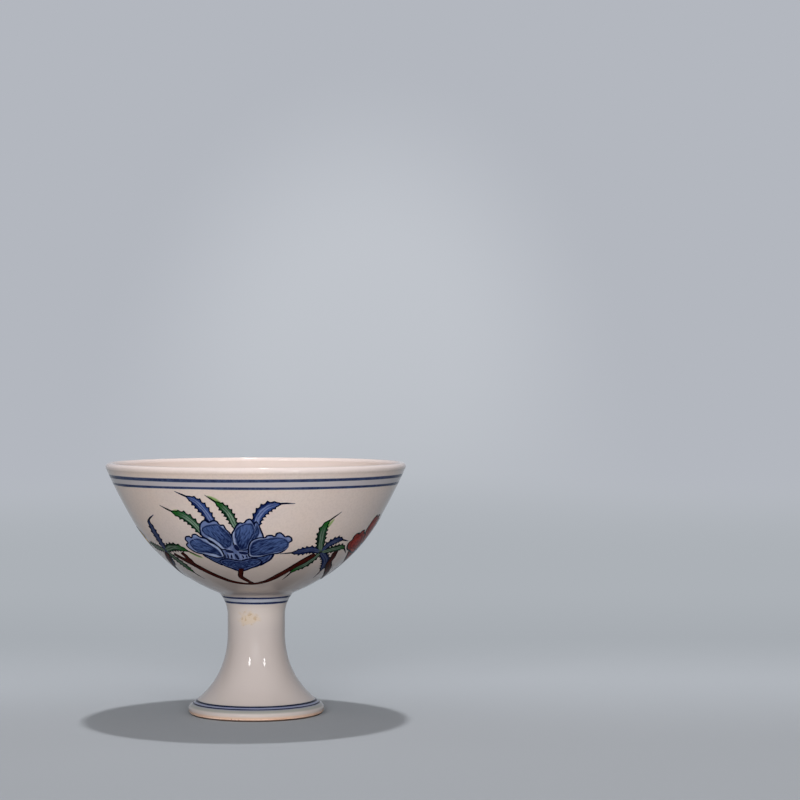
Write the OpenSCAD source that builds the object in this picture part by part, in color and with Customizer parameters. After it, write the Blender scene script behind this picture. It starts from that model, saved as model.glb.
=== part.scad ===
// Porcelain stem cup: a flared bowl luted onto a hollow trumpet stem, glazed and painted.
// Millimetres. Origin: centre of the resting plane of the foot. +Z up, -Y is the painted front.

/* [Overall] */
// Diameter over the lip
rim_d = 80; // [72:0.5:88]
// Height from the resting plane to the top of the lip
height = 67; // [61:0.5:73]
// Diameter over the foot edge
foot_d = 36.2; // [33:0.1:39.5]
// Diameter of the stem at its waist
waist_d = 15.3; // [13.5:0.1:17]

/* [Bowl] */
// Thickness of the fired clay wall
wall_t = 1.5; // [1.2:0.1:1.9]
// How much steeper than its mean lean the wall stands at the lip, degrees
lip_lift = 18.4; // [17:0.1:19.5]
// How much steeper than its mean lean the wall stands where it starts to round in, degrees
turn_lift = 12.8; // [11.5:0.1:14]
// How much flatter than its mean lean the wall lies where it meets the stem, degrees
base_drop = 25.6; // [24:0.1:27]

/* [Stem] */
// Height of the top of the straight waist
waist_top = 26.3; // [25:0.1:27.5]
// Height of the bottom of the straight waist
waist_low = 21.2; // [20:0.1:22.4]
// Radius of the hollow curve above the waist
collar_r = 9; // [7.5:0.1:10.5]
// Lean at which that curve tightens into the crease, degrees
collar_lean = 36; // [32:0.5:40]
// Radius of the crease under the bowl
crease_r = 2.6; // [2.1:0.1:3.2]
// Lean where the stem starts to flare faster, degrees
flare_lean = 18.4; // [16.5:0.1:20.3]
// Lean of the flare where it reaches the foot edge, degrees
foot_lean = 57.2; // [54:0.1:60.4]
// Radius of the rounded foot edge
foot_edge_r = 1.7; // [1.4:0.1:2]
// Height of the upright land below the rounded foot edge
foot_land = 1.3; // [1.25:0.05:1.6]
// Bevel at the bottom of the foot ring
foot_bevel = 0.5; // [0.3:0.05:0.7]
// Inner diameter of the foot ring
foot_bore_d = 29; // [26:0.1:30]
// Thickness of the stem wall
stem_wall = 3; // [2.5:0.1:3.4]

/* [Joint] */
// Thickness of the luting slip
slip_t = 0.35; // [0.2:0.05:0.5]
// Length of the boss under the bowl
boss_h = 2.6; // [1.8:0.1:3.2]

/* [Glaze] */
// Thickness of the glaze
glaze_t = 0.25; // [0.15:0.05:0.35]
// Swell of the lip roll on each face of the wall
lip_swell = 0.05; // [0.03:0.01:0.1]
// Height at which the outer glaze stops above the resting plane
glaze_stop = 0.8; // [0.6:0.05:1.2]

/* [Bands] */
// Depth to which the cobalt lines sink into the glaze
band_t = 0.12; // [0.08:0.01:0.14]
// Distance along the wall from the lip roll to the first rim line
rim_band_drop = 1.7; // [1.4:0.1:2.4]
// Width of the first rim line
rim_band_w = 0.75; // [0.5:0.05:0.9]
// Gap between the rim lines
rim_band_gap = 1.5; // [1.2:0.05:1.9]
// Width of the second rim line
rim_band_w2 = 0.6; // [0.4:0.05:0.75]
// Distance from the crease to the first collar line
collar_band_drop = 0.2; // [0.1:0.05:0.5]
// Width of the collar lines
collar_band_w = 0.45; // [0.3:0.05:0.6]
// Gap between the collar lines
collar_band_gap = 1.55; // [1.2:0.05:1.9]
// Distance up the flare from the foot edge to the lower foot line
foot_band_up = 0.3; // [0.2:0.05:0.4]
// Width of the foot lines
foot_band_w = 0.5; // [0.4:0.05:0.6]
// Gap between the foot lines
foot_band_gap = 0.55; // [0.45:0.05:0.65]

/* [Painting] */
// Thickness of the raised colour
enamel_t = 0.15; // [0.1:0.01:0.2]
// Turn of the front flower from the front, degrees
spray_turn = -8; // [-40:1:40]
// Turn of the red and yellow side flowers from the front one, degrees
side_turn = 93; // [90:0.5:95]
// Width of the branches, percent of the painted field
branch_w = 2.8; // [2.2:0.1:3.2]
// Diameter of the knots on the branches, percent of the painted field
knot_d = 3.8; // [3.4:0.1:4.4]

/* [Hidden] */
$fn = 180;
cut_over = 3;
far = 400;

// Lean of the wall from vertical at its three stations
waist_r = waist_d / 2;
mean_lean = atan2(rim_d / 2 - waist_r, height - waist_top - collar_r * sin(collar_lean));
rim_lean = mean_lean - lip_lift;
turn_lean = mean_lean - turn_lift;
base_lean = mean_lean + base_drop;

// Outward normal of a wall with the given lean
function out(lean) = [cos(lean), -sin(lean)];
// Length rounded to a thousandth of a millimetre
function in_microns(x) = round(x * 1000) / 1000;

// Swell of the lip roll beyond the wall's own thickness
lip_r = wall_t / 2 + glaze_t + lip_swell;

// Stem curves above the waist: collar, then crease, up to the root of the bowl
collar_c = [waist_r + collar_r, waist_top];
collar_end = collar_c - collar_r * out(collar_lean);
crease_c = collar_end + crease_r * out(collar_lean);
root = crease_c - crease_r * out(base_lean);

// Bowl wall: two arcs from the root to the lip, radii solved from the end points
half_t = wall_t / 2 + glaze_t;
lip_goal = [rim_d / 2 - lip_r, height - lip_r] + half_t * out(rim_lean);
wall_d = lip_goal - root;
up_r = cos(rim_lean) - cos(turn_lean);
up_z = sin(turn_lean) - sin(rim_lean);
low_r = cos(turn_lean) - cos(base_lean);
low_z = sin(base_lean) - sin(turn_lean);
wall_det = up_r * low_z - low_r * up_z;
upper_r = in_microns((wall_d[0] * low_z - low_r * wall_d[1]) / wall_det);
lower_r = in_microns((up_r * wall_d[1] - up_z * wall_d[0]) / wall_det);
lower_c = root - lower_r * out(base_lean);
upper_c = lower_c + (lower_r - upper_r) * out(turn_lean);
lip_c = upper_c + (upper_r - half_t) * out(rim_lean);

// Flare of the stem: two arcs from the waist to the foot edge, then the edge itself
edge_goal = [foot_d / 2 - foot_edge_r, foot_land] + foot_edge_r * out(-foot_lean);
flare_d = [edge_goal[0] - waist_r, waist_low - edge_goal[1]];
slow_r = 1 - cos(flare_lean);
slow_z = sin(flare_lean);
fast_r = cos(flare_lean) - cos(foot_lean);
fast_z = sin(foot_lean) - sin(flare_lean);
flare_det = slow_r * fast_z - fast_r * slow_z;
trunk_r = in_microns((flare_d[0] * fast_z - fast_r * flare_d[1]) / flare_det);
flare_r = in_microns((slow_r * flare_d[1] - slow_z * flare_d[0]) / flare_det);
trunk_c = [waist_r + trunk_r, waist_low];
flare_c = trunk_c + (flare_r - trunk_r) * out(-flare_lean);
edge_c = flare_c - (flare_r + foot_edge_r) * out(-foot_lean);
foot_r = edge_c[0] + foot_edge_r;

// Depths below the glazed surface
clay_out = -glaze_t;
clay_in = -glaze_t - wall_t;
skin_in = -2 * glaze_t - wall_t;
hollow_in = -glaze_t - stem_wall;
bore_r = waist_r + hollow_in;
boss_r = bore_r - slip_t;

// Seat of the joint, and the round inside of the bowl below its straight upper wall
seat = crease_c - (crease_r - clay_out) * out(base_lean);
floor_end = upper_c + (upper_r + clay_in) * out(turn_lean);
floor_r = in_microns(floor_end[0] / cos(turn_lean));
floor_c = floor_end - floor_r * out(turn_lean);

// Turns of the two kinds of leaf star between the flowers, degrees
star_a = [-48, 137];
star_b = [46, 226];

// Petal lobes: radius as a share of the petal's width, places as shares of its length
lobe_share = 0.27;
side_lobe_up = 0.24;
top_lobe_up = 0.36;

// Painted field: from the root of the bowl up to the lower edge of the second rim line
deg = 180 / PI;
lower_len = lower_r * (base_lean - turn_lean) / deg;
upper_len = upper_r * (turn_lean - rim_lean) / deg;
rim_band_2 = rim_band_drop + rim_band_w + rim_band_gap;
field_h = lower_len + upper_len - rim_band_2 - rim_band_w2;
unit = field_h / 100;

// Lean, radius and height of the wall at a share of the field, in percent
function lean_at(y) = y * unit < lower_len ? base_lean - y * unit / lower_r * deg
                                           : turn_lean - (y * unit - lower_len) / upper_r * deg;
function wall_at(y) = y * unit < lower_len ? lower_c + lower_r * out(lean_at(y))
                                           : upper_c + upper_r * out(lean_at(y));
// Offset on the wall from p to q, each given as [degrees round, percent up]
function reach(p, q) = [(q[0] - p[0]) / deg * wall_at((p[1] + q[1]) / 2)[0], (q[1] - p[1]) * unit];

// Exact place: the coarse and the fine part of a coordinate are moved one after the other
module put(c) {
    whole = [round(c[0]), round(c[1])];
    fine = [in_microns(c[0] - whole[0]), in_microns(c[1] - whole[1])];
    translate(whole) translate(fine) translate(c - whole - fine) children();
}

module above(z) {
    put([0, z]) translate([-far, 0]) square([2 * far, far]);
}

module below(z) {
    put([0, z]) translate([-far, -far]) square([2 * far, far]);
}

// Area from the axis out to a curve that bulges outwards, at a depth and between two leans
module in_bulge(c, r, lean_top, lean_low, d) {
    difference() {
        put(c) circle(r = r + d);
        above((c + (r + d) * out(lean_top))[1]);
        below((c + (r + d) * out(lean_low))[1]);
        translate([-far, -far]) square([far, 2 * far]);
    }
}

// Area from the axis out to a curve that is hollow to the outside
module in_hollow(c, r, lean_top, lean_low, d) {
    difference() {
        translate([0, -far / 2]) square([c[0], far]);
        put(c) circle(r = r - d);
        above((c - (r - d) * out(lean_top))[1]);
        below((c - (r - d) * out(lean_low))[1]);
    }
}

// Everything past the line across the wall at the lip
module past_lip() {
    put(lip_c) rotate(-rim_lean) translate([-far, 0]) square([2 * far, far]);
}

module lip_roll(d) {
    put(lip_c) circle(r = lip_r + d);
}

// Area inside the bowl wall, down to its root
module in_bowl(d) {
    difference() {
        in_bulge(upper_c, upper_r, 0, turn_lean, d);
        past_lip();
    }
    in_bulge(lower_c, lower_r, turn_lean, base_lean, d);
}

// Area inside the stem, from the root of the bowl to the resting plane
module in_stem(d) {
    in_hollow(crease_c, crease_r, base_lean, collar_lean, d);
    in_hollow(collar_c, collar_r, collar_lean, 0, d);
    difference() {
        translate([0, -far / 2]) square([waist_r + d, far]);
        above(waist_top);
        below(waist_low);
    }
    in_hollow(trunk_c, trunk_r, 0, -flare_lean, d);
    in_hollow(flare_c, flare_r, -flare_lean, -foot_lean, d);
    difference() {
        union() {
            put(edge_c) circle(r = foot_edge_r + d);
            translate([0, -far / 2]) square([edge_c[0], far]);
        }
        above((edge_c + (foot_edge_r + d) * out(-foot_lean))[1]);
        below(edge_c[1]);
    }
    difference() {
        put([edge_c[0], 0]) translate([-far, 0]) square([far + foot_edge_r + d, far]);
        above(edge_c[1]);
        translate([-far, 0]) square([far, far]);
    }
}

// Hollow of the bowl at a depth in its wall, with the round floor
module in_well(d) {
    in_bulge(upper_c, upper_r, 0, turn_lean, d);
    difference() {
        put(floor_c) circle(r = floor_r + d - clay_in);
        above((floor_c + (floor_r + d - clay_in) * out(turn_lean))[1]);
        translate([-far, -far]) square([far, 2 * far]);
    }
}

// Hollow of the stem, open at the foot
module in_bore() {
    difference() {
        translate([0, -far / 2]) square([bore_r, far]);
        above(seat[1]);
        below(waist_low);
    }
    intersection() {
        union() {
            in_hollow(trunk_c, trunk_r, 0, -flare_lean, hollow_in);
            in_hollow(flare_c, flare_r, -flare_lean, -foot_lean, hollow_in);
            difference() {
                translate([0, -cut_over]) square([foot_bore_d, far / 2]);
                above((flare_c - (flare_r - hollow_in) * out(-foot_lean))[1]);
            }
        }
        translate([0, -far / 2]) square([foot_bore_d / 2, far]);
    }
}

// All fired clay of the bowl and of the stem below it
module clay() {
    difference() {
        union() {
            in_bowl(clay_out);
            in_stem(clay_out);
        }
        in_well(clay_in);
    }
    lip_roll(clay_out);
}

module bowl_body() {
    color("#e8dfd6") rotate_extrude() difference() {
        clay();
        difference() {
            below(seat[1]);
            translate([0, -far / 2]) square([boss_r, far]);
        }
        below(seat[1] - boss_h);
    }
}

module stem_body() {
    color("#d9b79c") rotate_extrude() difference() {
        in_stem(clay_out);
        in_bore();
        above(seat[1] - slip_t);
        put([foot_r - glaze_t, 0]) polygon([[-foot_bevel, 0], [0, foot_bevel], [cut_over, 0], [0, -cut_over]]);
    }
}

// Flat ring on the top of the stem and a sleeve round the boss
module luting_slip() {
    color("#d8cfc6") rotate_extrude() difference() {
        union() {
            difference() {
                in_stem(clay_out);
                below(seat[1] - slip_t);
            }
            difference() {
                translate([0, -far / 2]) square([bore_r, far]);
                above(seat[1]);
                below(seat[1] - boss_h);
            }
        }
        translate([0, -far / 2]) square([boss_r, far]);
        above(seat[1]);
    }
}

// Ring sector of a bulging curve, between two leans and two depths
module bulge(c, r, lean_a, lean_b, d_a, d_b) {
    put(c) intersection() {
        difference() {
            circle(r = r + d_b);
            circle(r = r + d_a);
        }
        polygon([[0, 0], far * out(lean_a), far * out(lean_b)]);
    }
}

// Ring sector of a hollow curve
module hollow(c, r, lean_a, lean_b, d_a, d_b) {
    put(c) intersection() {
        difference() {
            circle(r = r - d_a);
            circle(r = r - d_b);
        }
        polygon([[0, 0], -far * out(lean_a), -far * out(lean_b)]);
    }
}

module rim_lines(top) {
    first = rim_lean + rim_band_drop / upper_r * deg;
    second = rim_lean + rim_band_2 / upper_r * deg;
    bulge(upper_c, upper_r, first, first + rim_band_w / upper_r * deg, -band_t, top);
    bulge(upper_c, upper_r, second, second + rim_band_w2 / upper_r * deg, -band_t, top);
}

module collar_lines(top) {
    first = collar_lean - collar_band_drop / collar_r * deg;
    second = first - (collar_band_w + collar_band_gap) / collar_r * deg;
    for (lean = [first, second])
        hollow(collar_c, collar_r, lean, lean - collar_band_w / collar_r * deg, -band_t, top);
}

module foot_lines(top) {
    first = -foot_lean + foot_band_up / flare_r * deg;
    second = first + (foot_band_w + foot_band_gap) / flare_r * deg;
    for (lean = [first, second])
        hollow(flare_c, flare_r, lean, lean + foot_band_w / flare_r * deg, -band_t, top);
}

module outer_glaze() {
    color("#d6ccc6", 0.6) rotate_extrude() difference() {
        union() {
            in_bowl(0);
            in_stem(0);
            lip_roll(0);
        }
        clay();
        difference() {
            in_well(clay_in);
            lip_roll(0);
        }
        below(glaze_stop);
        rim_lines(band_t);
        collar_lines(band_t);
        foot_lines(band_t);
    }
}

module inner_glaze() {
    color("#e6d8d0", 0.8) rotate_extrude() difference() {
        in_well(clay_in);
        in_well(skin_in);
        past_lip();
        lip_roll(0);
    }
}

module rim_bands() {
    color("#2c3f66") rotate_extrude() rim_lines(0);
}

module collar_bands() {
    color("#2c3f66") rotate_extrude() collar_lines(0);
}

module foot_bands() {
    color("#2c3f66") rotate_extrude() foot_lines(0);
}

// Drawing plane laid on the wall at p: x runs round, y runs up the wall, z points outwards
module on_wall(p) {
    lean = lean_at(p[1]);
    at = wall_at(p[1]);
    rotate(p[0] - 90)
        multmatrix([[0, sin(lean), cos(lean), at[0]], [1, 0, 0, 0], [0, cos(lean), -sin(lean), at[1]]])
            children();
}

// Prism through the wall whose drawing runs along y from p to q
module drawn(p, q) {
    step = reach(p, q);
    on_wall((p + q) / 2) rotate(-atan2(step[0], step[1])) translate([0, 0, -cut_over])
        linear_extrude(2 * cut_over) children();
}

module lens(length, width) {
    r = (length * length / width + width) / 4;
    intersection() {
        translate([r - width / 2, 0]) circle(r = r);
        translate([width / 2 - r, 0]) circle(r = r);
    }
}

// One pointed leaf from p to q, width in percent of the field
module leaf(p, q, w) {
    drawn(p, q) lens(norm(reach(p, q)), w * unit);
}

// One petal from p to q with a lobed tip
module petal(p, q, w) {
    length = norm(reach(p, q));
    width = w * unit;
    lobe = width * lobe_share;
    drawn(p, q) {
        lens(length, width);
        translate([-lobe, length * side_lobe_up]) circle(r = lobe);
        translate([lobe, length * side_lobe_up]) circle(r = lobe);
        translate([0, length * top_lobe_up]) circle(r = lobe);
    }
}

module twig(p, q) {
    drawn(p, q) square([branch_w * unit, norm(reach(p, q))], center = true);
}

module knot(p) {
    drawn(p, p + [0, 1]) circle(d = knot_d * unit);
}

// Layer of raised colour on the wall, cut to the drawing
module enamel() {
    intersection() {
        rotate_extrude() difference() {
            in_bowl(enamel_t);
            in_bowl(0);
        }
        rotate(spray_turn) children();
    }
}

// Four upper petals, two low side petals and two lobes under them
module flower() {
    petal([-6.5, 50], [-25, 65], 12);
    petal([-2.5, 58], [-10, 76], 13);
    petal([3.5, 58], [8.5, 77], 13);
    petal([8.5, 51], [28, 66], 12);
    leaf([-8, 43], [-24, 47.5], 4.5);
    leaf([9, 43.5], [27, 49], 4.5);
    leaf([-0.5, 38.5], [-11, 40.5], 4);
    leaf([2.5, 38.5], [13, 41], 4);
}

module blue_flowers() {
    color("#33497a") enamel() for (turn = [0, 180]) rotate(turn) flower();
}

module red_flower() {
    color("#8c4a46") enamel() rotate(side_turn) flower();
}

module yellow_flower() {
    color("#c79a48") enamel() rotate(-side_turn) flower();
}

module blue_leaves() {
    color("#46598a") enamel() {
        for (turn = [0, 180]) rotate(turn) {
            leaf([-12, 82], [-20, 96], 5.5);
            leaf([12, 82], [21, 92], 5.5);
        }
        for (turn = star_b) rotate(turn) {
            leaf([-3, 53], [-15, 54.5], 5);
            leaf([3.5, 55], [14, 64], 5);
            leaf([1, 47], [6, 30], 5);
        }
        for (turn = star_a) rotate(turn) {
            leaf([0, 56], [-1, 77], 6);
            leaf([-1, 46], [-5, 31], 5);
        }
    }
}

module green_leaves() {
    color("#4f7a4e") enamel() {
        for (turn = [0, 180]) rotate(turn) {
            leaf([-19, 72], [-30, 86], 6);
            leaf([0, 81], [-7.5, 96], 5.5);
        }
        for (turn = star_b) rotate(turn) {
            leaf([0, 56], [0, 78], 6.5);
            leaf([4.5, 51], [17, 52], 5);
            leaf([-2.5, 48], [-13, 32], 5.5);
        }
        for (turn = star_a) rotate(turn) {
            leaf([-3.5, 53], [-18, 57], 5.5);
            leaf([4, 53], [18, 55], 5.5);
            leaf([2.5, 47], [13, 29], 5);
        }
    }
}

// Swag under each flower with its stalk, knots where the bends are
module branches() {
    swag = [[-30, 42], [-24, 34], [-15, 26], [-3, 20], [7, 20], [17, 25], [27, 35], [31, 44]];
    stalk = [[1, 36], [0, 31], [4, 20]];
    color("#4a3128") enamel() for (turn = [0, side_turn, 180, -side_turn]) rotate(turn) {
        for (i = [0 : len(swag) - 2]) twig(swag[i], swag[i + 1]);
        for (i = [1 : len(swag) - 2]) knot(swag[i]);
        for (i = [0 : len(stalk) - 2]) twig(stalk[i], stalk[i + 1]);
        knot(stalk[1]);
    }
}

bowl_body();
stem_body();
luting_slip();
outer_glaze();
inner_glaze();
rim_bands();
collar_bands();
foot_bands();
blue_flowers();
red_flower();
yellow_flower();
blue_leaves();
green_leaves();
branches();
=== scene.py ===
import math
import random

import bpy
import numpy as np
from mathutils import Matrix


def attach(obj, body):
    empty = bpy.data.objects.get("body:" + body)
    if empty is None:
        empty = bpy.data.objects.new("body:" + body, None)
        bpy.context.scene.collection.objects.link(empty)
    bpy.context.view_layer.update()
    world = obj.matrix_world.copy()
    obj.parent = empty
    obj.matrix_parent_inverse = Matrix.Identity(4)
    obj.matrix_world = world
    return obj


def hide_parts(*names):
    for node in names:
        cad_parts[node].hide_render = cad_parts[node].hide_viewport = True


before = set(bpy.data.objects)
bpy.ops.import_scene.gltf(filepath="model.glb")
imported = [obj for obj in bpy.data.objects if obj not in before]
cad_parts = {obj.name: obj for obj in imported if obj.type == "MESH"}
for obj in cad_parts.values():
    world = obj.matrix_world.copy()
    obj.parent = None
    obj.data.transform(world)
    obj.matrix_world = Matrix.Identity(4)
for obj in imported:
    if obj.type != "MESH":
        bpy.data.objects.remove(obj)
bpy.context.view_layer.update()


# Bowl body
# The bowl is thrown in white porcelain clay and trimmed, with a short boss under its floor.
# Glaze covers all of it but the boss, which shows only up the hollow of the stem.

def colour(red, green, blue):
    """A colour written as 0 to 255 steps, in the linear form that a socket takes."""
    steps = [part / 255 for part in (red, green, blue)]
    return [s / 12.92 if s <= 0.04045 else ((s + 0.055) / 1.055) ** 2.4 for s in steps] + [1.0]


class Shade:
    """A socket of a finish. Arithmetic on it adds Math nodes, and node() adds any other node."""

    def __init__(self, socket):
        self.socket = socket

    def node(self, kind, settings, sockets, output=0):
        """Adds a node of a kind, with its settings and the values or links of its sockets."""
        tree = self.socket.id_data
        made = tree.nodes.new(kind)
        for name, value in settings.items():
            setattr(made, name, value)
        for name, value in sockets.items():
            if isinstance(value, Shade):
                tree.links.new(value.socket, made.inputs[name])
            else:
                made.inputs[name].default_value = value
        return Shade(made.outputs[output]) if len(made.outputs) else None

    def maths(self, operation, first, second):
        """Adds a Math node on two values or links."""
        return self.node("ShaderNodeMath", {"operation": operation}, {0: first, 1: second})

    def __add__(self, other):
        return self.maths("ADD", self, other)

    def __radd__(self, other):
        return self.maths("ADD", other, self)

    def __sub__(self, other):
        return self.maths("SUBTRACT", self, other)

    def __rsub__(self, other):
        return self.maths("SUBTRACT", other, self)

    def __mul__(self, other):
        return self.maths("MULTIPLY", self, other)

    def __rmul__(self, other):
        return self.maths("MULTIPLY", other, self)

    def __abs__(self):
        return self.maths("ABSOLUTE", self, 0.0)

    def rise(self, low, high):
        """Smooth step from 0 at low to 1 at high."""
        return self.node(
            "ShaderNodeMapRange",
            {"interpolation_type": "SMOOTHSTEP"},
            {"Value": self, "From Min": low, "From Max": high},
        )

    def blend(self, first, second):
        """Colour that goes from first to second as this value goes from 0 to 1."""
        return self.node("ShaderNodeMix", {"data_type": "RGBA"}, {0: self, 6: first, 7: second}, 2)

    def cloud(self, scale, detail=3.0, roughness=0.55):
        """Noise at these coordinates."""
        return self.node(
            "ShaderNodeTexNoise",
            {},
            {"Vector": self, "Scale": scale, "Detail": detail, "Roughness": roughness},
        )

    def mark(self, name):
        """A value painted on the mesh under this name."""
        return self.node("ShaderNodeAttribute", {"attribute_name": name}, {}, "Fac")


def new_finish(name):
    """A material with no nodes yet but its object coordinates."""
    finish = bpy.data.materials.new(name)
    finish.use_nodes = True
    finish.node_tree.nodes.clear()
    return finish, Shade(finish.node_tree.nodes.new("ShaderNodeTexCoord").outputs["Object"])


def surface(place, sockets, height=None, depth=0.0):
    """Ends a finish in a Principled surface, with relief of the given depth in metres."""
    if height is not None:
        relief = place.node("ShaderNodeBump", {}, {"Height": height, "Strength": 1.0, "Distance": depth})
        sockets = {**sockets, "Normal": relief}
    shader = place.node("ShaderNodeBsdfPrincipled", {}, sockets)
    place.node("ShaderNodeOutputMaterial", {}, {"Surface": shader})


bowl_clay, place = new_finish("bowl_clay")
grain = place.cloud(900.0, 4.0)
surface(
    place,
    {
        "Base Color": place.cloud(140.0).blend(colour(226, 214, 203), colour(208, 193, 180)),
        "Roughness": grain * 0.2 + 0.6,
    },
    height=grain,
    depth=0.00004,
)
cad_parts["bowl_body"].data.materials.clear()
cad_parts["bowl_body"].data.materials.append(bowl_clay)


# Stem body
# A hollow trumpet stem, thrown apart from the bowl and turned to a rounded foot edge.
# Its foot ring is wiped clean of glaze and fires to an orange buff.

# Sizes in millimetres, leans in degrees from upright
rim_d, height, foot_d, waist_d = 80.0, 67.0, 36.2, 15.3
wall_t, stem_wall, glaze_t, slip_t, lip_swell = 1.5, 3.0, 0.25, 0.35, 0.05
lip_lift, turn_lift, base_drop = 18.4, 12.8, 25.6
waist_top, waist_low = 26.3, 21.2
collar_r, collar_lean, crease_r = 9.0, 36.0, 2.6
flare_lean, foot_lean = 18.4, 57.2
foot_edge_r, foot_land, foot_bevel, foot_bore_d = 1.7, 1.3, 0.5, 29.0
glaze_stop = 0.8


def out(lean):
    """Outward direction, as radius and height, of a wall that leans so many degrees from upright."""
    return np.array([math.cos(math.radians(lean)), -math.sin(math.radians(lean))])


def radii_of(span, first, middle, last):
    """Radii of two arcs that meet smoothly and cross the span between three leans."""
    turns = np.column_stack([out(middle) - out(first), out(last) - out(middle)])
    return np.linalg.solve(turns, span)


waist_r = waist_d / 2
mean_lean = math.degrees(
    math.atan2(rim_d / 2 - waist_r, height - waist_top - collar_r * math.sin(math.radians(collar_lean)))
)
rim_lean, turn_lean, base_lean = mean_lean - lip_lift, mean_lean - turn_lift, mean_lean + base_drop
half_t = wall_t / 2 + glaze_t
lip_r = half_t + lip_swell

collar_c = np.array([waist_r + collar_r, waist_top])
crease_c = collar_c + (crease_r - collar_r) * out(collar_lean)
root = crease_c - crease_r * out(base_lean)
lip_end = np.array([rim_d / 2 - lip_r, height - lip_r]) + half_t * out(rim_lean)
lower_r, upper_r = radii_of(lip_end - root, base_lean, turn_lean, rim_lean)
lower_c = root - lower_r * out(base_lean)
upper_c = lower_c + (lower_r - upper_r) * out(turn_lean)
lip_c = upper_c + (upper_r - half_t) * out(rim_lean)

edge_c = np.array([foot_d / 2 - foot_edge_r, foot_land])
edge_top = edge_c + foot_edge_r * out(-foot_lean)
trunk_r, flare_r = radii_of(np.array([waist_r, waist_low]) - edge_top, 0, -flare_lean, -foot_lean)
trunk_c = np.array([waist_r + trunk_r, waist_low])
flare_c = trunk_c + (flare_r - trunk_r) * out(-flare_lean)


def arc(centre, radius, first, last, step):
    """Points and leans along an arc. A negative radius makes it hollow to the outside."""
    count = max(3, round(abs(math.radians(last - first) * radius) / step))
    leans = np.linspace(first, last, count + 1)
    return np.array([centre + radius * out(a) for a in leans]), leans


def upright(radius, low, high, step):
    """Points and leans up a straight wall."""
    heights = np.linspace(low, high, max(2, round((high - low) / step)) + 1)
    return np.column_stack([np.full(len(heights), radius), heights]), np.zeros(len(heights))


def joined(runs):
    """One path from runs that follow on from each other."""
    points, leans = zip(*runs)
    points, leans = np.vstack(points), np.concatenate(leans)
    apart = np.append(True, np.linalg.norm(np.diff(points, axis=0), axis=1) > 1e-6)
    return points[apart], leans[apart]


def stem_runs(step):
    """Glazed outside of the stem, from the foot up to the root of the bowl."""
    return [
        upright(foot_d / 2, glaze_stop, foot_land, step),
        arc(edge_c, foot_edge_r, 0, -foot_lean, step / 2),
        arc(flare_c, -flare_r, -foot_lean, -flare_lean, step),
        arc(trunk_c, -trunk_r, -flare_lean, 0, step),
        upright(waist_r, waist_low, waist_top, step),
        arc(collar_c, -collar_r, 0, collar_lean, step),
        arc(crease_c, -crease_r, collar_lean, base_lean, step / 2),
    ]


def bowl_runs(step):
    """Glazed outside of the bowl, from its root up to the lip roll."""
    return [
        arc(lower_c, lower_r, base_lean, turn_lean, step),
        arc(upper_c, upper_r, turn_lean, rim_lean, step),
    ]


def sunk(path, depth):
    """A path moved into the wall by a depth."""
    points, leans = path
    return points - depth * np.array([out(a) for a in leans])


turn_steps = 240
same_place = 1e-7
sharp_angle = math.radians(40)


def turned(name, loop, finish):
    """Turns a closed loop of radius and height, in millimetres, round the axis."""
    bpy.ops.object.select_all(action="DESELECT")
    bpy.ops.mesh.primitive_circle_add(vertices=len(loop), radius=0.01)
    piece = bpy.context.object
    piece.name = piece.data.name = name
    for vertex, (radius, level) in zip(piece.data.vertices, loop):
        vertex.co = (radius / 1000, 0, level / 1000)
    bpy.ops.object.mode_set(mode="EDIT")
    bpy.ops.mesh.select_all(action="SELECT")
    bpy.ops.mesh.spin(steps=turn_steps, angle=2 * math.pi, center=(0, 0, 0), axis=(0, 0, 1))
    bpy.ops.mesh.select_all(action="SELECT")
    bpy.ops.mesh.remove_doubles(threshold=same_place)
    bpy.ops.mesh.delete_loose()
    bpy.ops.mesh.select_all(action="SELECT")
    bpy.ops.mesh.normals_make_consistent(inside=False)
    bpy.ops.object.mode_set(mode="OBJECT")
    bpy.ops.object.shade_smooth_by_angle(angle=sharp_angle)
    piece.data.materials.append(finish)
    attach(piece, "root")
    return piece


bore_r = waist_r - glaze_t - stem_wall
seat = (crease_c - (crease_r + glaze_t) * out(base_lean))[1]
clay_step, seat_flare, bore_drop = 0.8, 0.3, 0.3
stem_out = sunk(joined(stem_runs(clay_step)), glaze_t)
stem_out = stem_out[(stem_out[:, 1] > glaze_stop) & (stem_out[:, 1] < seat - slip_t)]
bore = sunk(joined(stem_runs(clay_step)[2:4]), glaze_t + stem_wall)
bore = bore[bore[:, 0] < foot_bore_d / 2][::-1]
stem_loop = np.vstack([
    [[foot_d / 2 - glaze_t - foot_bevel, 0], [foot_d / 2 - glaze_t, foot_bevel]],
    stem_out,
    [[stem_out[-1][0] + seat_flare, seat - slip_t], [bore_r, seat - slip_t]],
    bore,
    [[foot_bore_d / 2, bore[-1][1] - bore_drop], [foot_bore_d / 2, 0]],
])

foot_clay, place = new_finish("foot_clay")
speckle = place.cloud(1400.0, 5.0, 0.7)
flame = place.cloud(160.0, 3.0)
# Darker along the resting edge: a painted contact shadow, with some grime on the edge.
grime_and_contact_shade = place.node("ShaderNodeSeparateXYZ", {}, {"Vector": place}, "Z").rise(0.00055, 0.0003)
fired = flame.rise(0.35, 0.65).blend(colour(244, 212, 192), colour(232, 190, 162))
fired = speckle.rise(0.55, 0.72).blend(fired, colour(176, 120, 88))
surface(
    place,
    {
        "Base Color": (grime_and_contact_shade * 0.9).blend(fired, colour(54, 36, 24)),
        "Roughness": speckle * 0.25 + 0.55,
    },
    height=speckle,
    depth=0.00006,
)
stem = turned("stem_and_foot", stem_loop, foot_clay)
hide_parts("stem_body")


# Luting slip
# Clay slip that bonds the bowl's boss into the stem, squeezed out thin and fired with it.
# It shows only up the hollow of the stem, as a rough ring round the boss.

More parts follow.
